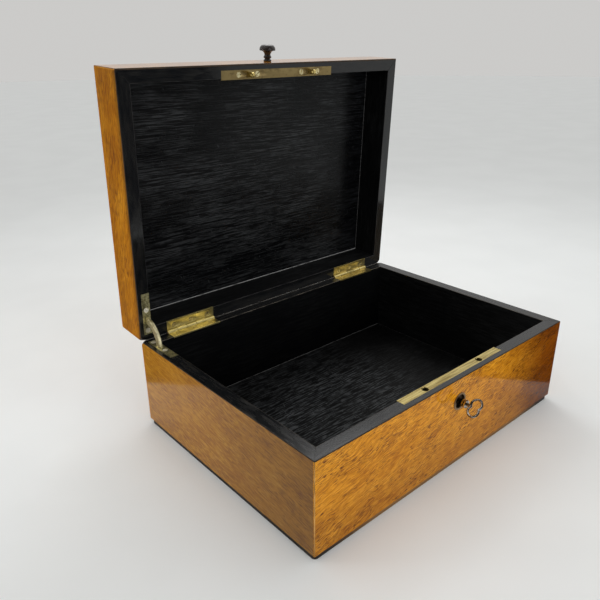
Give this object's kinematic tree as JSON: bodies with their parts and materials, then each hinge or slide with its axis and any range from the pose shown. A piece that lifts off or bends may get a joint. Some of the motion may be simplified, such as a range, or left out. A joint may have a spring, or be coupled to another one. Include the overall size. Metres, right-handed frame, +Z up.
{
  "type": "hinged lockable box",
  "caption": "Veneered wooden box with a lid on brass hinges, held open by a quadrant stay, with a lock, a link plate, a turned knob and a key.",
  "frame": {"origin": "middle of the underside of the base", "axes": "+X to the right seen from the front, +Y to the hinged back, +Z up; the lid stands open at rest"},
  "size_m": [0.3, 0.27, 0.3115],
  "materials": {
    "veneer": "french polished",
    "ebonised_wood": "stained black, open grain",
    "knob_wood": "stained black, polished",
    "hinge_brass": "worn bright",
    "stay_brass": "dull, greenish",
    "lock_brass": "satin",
    "link_brass": "tarnished",
    "screw_brass": "worn bright",
    "lock_steel": "dull",
    "escutcheon_metal": "blackened, worn rim",
    "key_steel": "polished, worn"
  },
  "bodies": {
    "base": {"base_front_wall": "ebonised_wood", "base_front_veneer": "veneer", "base_back_wall": "ebonised_wood", "base_back_veneer": "veneer", "base_left_wall": "ebonised_wood", "base_left_veneer": "veneer", "base_right_wall": "ebonised_wood", "base_right_veneer": "veneer", "base_floor": "ebonised_wood", "left_hinge_base_leaf": "hinge_brass", "right_hinge_base_leaf": "hinge_brass", "left_hinge_pin": "hinge_brass", "right_hinge_pin": "hinge_brass", "hinge_base_screws": "screw_brass", "stay_base_plate": "stay_brass", "stay_base_screws": "screw_brass", "lock_plate": "lock_brass", "lock_case": "lock_steel", "lock_guide_posts": "lock_steel", "lock_drill_pin": "lock_steel", "lock_screws": "screw_brass", "escutcheon": "escutcheon_metal"},
    "lid": {"lid_front_wall": "ebonised_wood", "lid_front_veneer": "veneer", "lid_back_wall": "ebonised_wood", "lid_back_veneer": "veneer", "lid_left_wall": "ebonised_wood", "lid_left_veneer": "veneer", "lid_right_wall": "ebonised_wood", "lid_right_veneer": "veneer", "lid_top_panel": "ebonised_wood", "lid_top_veneer": "veneer", "lid_knob": "knob_wood", "left_hinge_lid_leaf": "hinge_brass", "right_hinge_lid_leaf": "hinge_brass", "link_plate": "link_brass", "link_hooks": "link_brass", "link_plate_screws": "screw_brass", "hinge_lid_screws": "screw_brass", "stay_lid_plate": "stay_brass", "stay_lid_screws": "screw_brass"},
    "stay_arm": {"stay_arm": "stay_brass"},
    "key": {"key": "key_steel"},
    "bolt": {"lock_bolt": "lock_steel", "lock_bolt_spring": "lock_steel"}
  },
  "joints": [
    {"name": "lid_hinge", "type": "hinge", "parent": "base", "child": "lid", "pos_m": [0, 0.1083, 0.0805], "axis": [1, 0, 0], "range_deg": [0, 87.3]},
    {"name": "stay_swing", "type": "hinge", "parent": "base", "child": "stay_arm", "pos_m": [0, 0.1083, 0.0805], "axis": [1, 0, 0], "range_deg": [0, 43.65]},
    {"name": "key_turn", "type": "hinge", "parent": "base", "child": "key", "pos_m": [0, -0.1085, 0.0599], "axis": [0, 1, 0], "range_deg": [-45, 180]},
    {"name": "bolt_slide", "type": "slide", "parent": "base", "child": "bolt", "axis": [1, 0, 0], "range_m": [-0.0012, 0.0048]}
  ],
  "couplings": [
    {"joint": "stay_swing", "follows": "lid_hinge", "ratio": 0.5},
    {"joint": "key_turn", "follows": "bolt_slide", "rad_per_m": 654.5}
  ]
}
